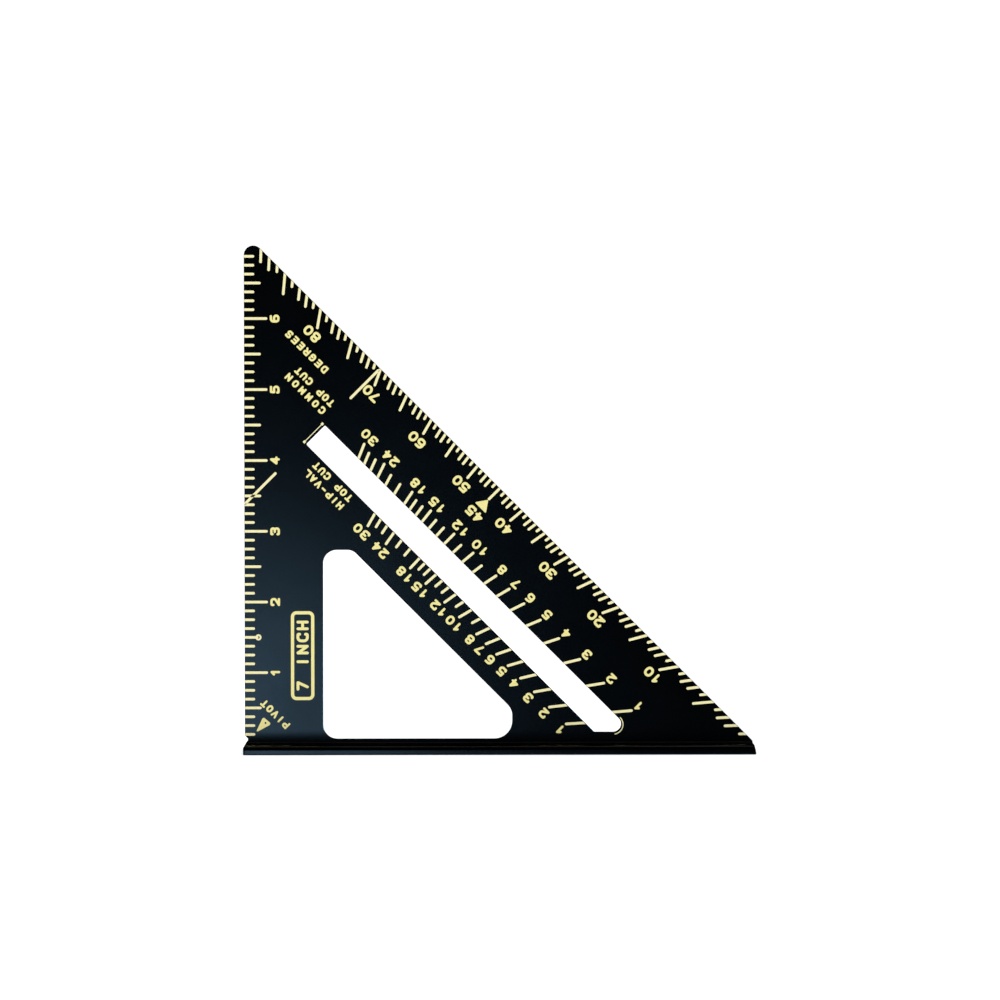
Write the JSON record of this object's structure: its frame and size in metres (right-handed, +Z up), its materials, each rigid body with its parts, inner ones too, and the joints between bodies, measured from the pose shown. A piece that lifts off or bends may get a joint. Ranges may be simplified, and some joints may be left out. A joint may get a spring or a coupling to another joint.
{
  "type": "speed square",
  "caption": "Seven-inch triangular rafter square with a T-shaped fence, a grip window, a slanted scribing slot and painted inch, degree and rafter scales.",
  "frame": {"origin": "under the middle of the fence, on the surface that the square stands on", "axes": "+X along the fence from the pivot corner to the heel, +Z up the ruler edge, marked face towards -Y"},
  "size_m": [0.1834, 0.022, 0.1819],
  "materials": {
    "black_coat": "satin black powder coat",
    "scale_paint": "pale gold paint"
  },
  "bodies": {
    "root": {"blade": "black_coat", "fence": "black_coat", "inch_ticks": "scale_paint", "inch_numerals": "scale_paint", "degree_ticks": "scale_paint", "degree_numerals": "scale_paint", "degree_label": "scale_paint", "angle_45_pointer": "scale_paint", "common_ticks": "scale_paint", "common_numerals": "scale_paint", "common_label": "scale_paint", "hip_valley_ticks": "scale_paint", "hip_valley_numerals": "scale_paint", "hip_valley_label": "scale_paint", "square_lines": "scale_paint", "slot_end_lines": "scale_paint", "pivot_arrow": "scale_paint", "pivot_label": "scale_paint", "size_plate": "scale_paint", "rear_inch_ticks": "scale_paint", "rear_inch_numerals": "scale_paint"}
  },
  "joints": []
}
